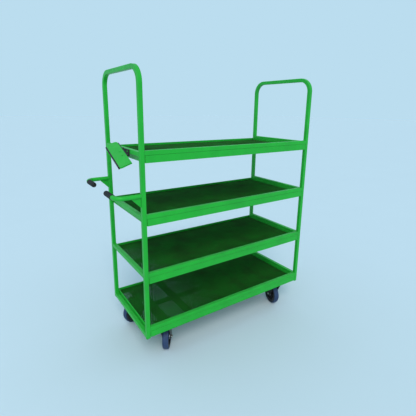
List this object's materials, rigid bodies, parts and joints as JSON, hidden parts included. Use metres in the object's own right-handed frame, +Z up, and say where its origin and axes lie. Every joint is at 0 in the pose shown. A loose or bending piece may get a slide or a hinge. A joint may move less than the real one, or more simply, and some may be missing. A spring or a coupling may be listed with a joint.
{
  "type": "plant trolley",
  "caption": "Tall steel trolley with mesh decks between two inverted U end frames, bull-horn push handles and a writing tray at one end, on swivel casters with brakes.",
  "frame": {"origin": "middle of the trolley's bounding box, on the floor", "axes": "+X along the decks away from the push handles, +Y across the trolley from the rimmed front to the back, +Z up"},
  "size_m": [1.453, 0.575, 1.76],
  "materials": {
    "green_paint": "bright green powder coat, slightly worn",
    "deck_paint": "dark green powder coat, dusty",
    "zinc_plate": "zinc-plated pressed steel",
    "bolt_steel": "zinc-plated fasteners",
    "wheel_plastic": "moulded wheel core",
    "tyre_rubber": "blue-grey rubber",
    "grip_rubber": "black rubber",
    "black_plastic": "black plastic",
    "fork_paint": "black coated pressed steel",
    "pedal_paint": "black coated pressing"
  },
  "bodies": {
    "trolley_frame": {"left_end_frame": "green_paint", "right_end_frame": "green_paint", "left_end_rails": "green_paint", "right_end_rails": "green_paint", "front_rim_shelf_1": "green_paint", "deck_frame_shelf_1": "green_paint", "mesh_deck_shelf_1": "deck_paint", "deck_bearers_shelf_1": "deck_paint", "front_rim_shelf_2": "green_paint", "deck_frame_shelf_2": "green_paint", "mesh_deck_shelf_2": "deck_paint", "deck_bearers_shelf_2": "deck_paint", "front_rim_shelf_3": "green_paint", "deck_frame_shelf_3": "green_paint", "mesh_deck_shelf_3": "deck_paint", "deck_bearers_shelf_3": "deck_paint", "front_rim_shelf_4": "green_paint", "deck_frame_shelf_4": "green_paint", "mesh_deck_shelf_4": "deck_paint", "deck_bearers_shelf_4": "deck_paint", "deck_stiffeners": "deck_paint", "deck_cleats": "green_paint", "deck_bolts": "bolt_steel", "post_plugs": "black_plastic", "front_handle": "green_paint", "front_handle_gusset": "green_paint", "front_handle_grip": "grip_rubber", "rear_handle": "green_paint", "rear_handle_gusset": "green_paint", "rear_handle_grip": "grip_rubber", "writing_tray": "green_paint", "tray_mount": "black_plastic", "tray_edge_strips": "black_plastic", "tray_screws": "green_paint", "caster_pad_plates": "green_paint", "caster_cross_members": "green_paint", "caster_top_plates": "zinc_plate", "caster_swivel_seals": "black_plastic", "caster_king_bolts": "bolt_steel", "caster_mounting_bolts": "bolt_steel"},
    "swivel_front_left": {"caster_fork_front_left": "fork_paint", "caster_axle_front_left": "bolt_steel"},
    "wheel_front_left": {"wheel_core_front_left": "wheel_plastic", "tyre_front_left": "tyre_rubber"},
    "swivel_front_right": {"caster_fork_front_right": "fork_paint", "caster_axle_front_right": "bolt_steel", "brake_pin_front_right": "bolt_steel"},
    "wheel_front_right": {"wheel_core_front_right": "wheel_plastic", "tyre_front_right": "tyre_rubber"},
    "pedal_front_right": {"brake_pedal_front_right": "pedal_paint"},
    "swivel_rear_left": {"caster_fork_rear_left": "fork_paint", "caster_axle_rear_left": "bolt_steel"},
    "wheel_rear_left": {"wheel_core_rear_left": "wheel_plastic", "tyre_rear_left": "tyre_rubber"},
    "swivel_rear_right": {"caster_fork_rear_right": "fork_paint", "caster_axle_rear_right": "bolt_steel", "brake_pin_rear_right": "bolt_steel"},
    "wheel_rear_right": {"wheel_core_rear_right": "wheel_plastic", "tyre_rear_right": "tyre_rubber"},
    "pedal_rear_right": {"brake_pedal_rear_right": "pedal_paint"}
  },
  "joints": [
    {"name": "swivel_front_left", "type": "hinge", "parent": "trolley_frame", "child": "swivel_front_left", "pos_m": [-0.4155, -0.2155, 0.191], "axis": [0, 0, 1], "continuous": true},
    {"name": "roll_front_left", "type": "hinge", "parent": "swivel_front_left", "child": "wheel_front_left", "pos_m": [-0.38611, -0.17505, 0.08], "axis": [-0.809, 0.5878, 0], "continuous": true},
    {"name": "swivel_front_right", "type": "hinge", "parent": "trolley_frame", "child": "swivel_front_right", "pos_m": [0.5685, -0.2155, 0.191], "axis": [0, 0, 1], "continuous": true},
    {"name": "roll_front_right", "type": "hinge", "parent": "swivel_front_right", "child": "wheel_front_right", "pos_m": [0.5789, -0.16659, 0.08], "axis": [-0.9781, 0.2079, 0], "continuous": true},
    {"name": "brake_front_right", "type": "hinge", "parent": "swivel_front_right", "child": "pedal_front_right", "pos_m": [0.58513, -0.13725, 0.172], "axis": [-0.9781, 0.2079, 0], "range_deg": [0, 8]},
    {"name": "swivel_rear_left", "type": "hinge", "parent": "trolley_frame", "child": "swivel_rear_left", "pos_m": [-0.4155, 0.2155, 0.191], "axis": [0, 0, 1], "continuous": true},
    {"name": "roll_rear_left", "type": "hinge", "parent": "swivel_rear_left", "child": "wheel_rear_left", "pos_m": [-0.46474, 0.20682, 0.08], "axis": [0.1736, -0.9848, 0], "continuous": true},
    {"name": "swivel_rear_right", "type": "hinge", "parent": "trolley_frame", "child": "swivel_rear_right", "pos_m": [0.5685, 0.2155, 0.191], "axis": [0, 0, 1], "continuous": true},
    {"name": "roll_rear_right", "type": "hinge", "parent": "swivel_rear_right", "child": "wheel_rear_right", "pos_m": [0.5514, 0.16851, 0.08], "axis": [0.9397, -0.342, 0], "continuous": true},
    {"name": "brake_rear_right", "type": "hinge", "parent": "swivel_rear_right", "child": "pedal_rear_right", "pos_m": [0.54114, 0.14033, 0.172], "axis": [0.9397, -0.342, 0], "range_deg": [0, 8]}
  ]
}
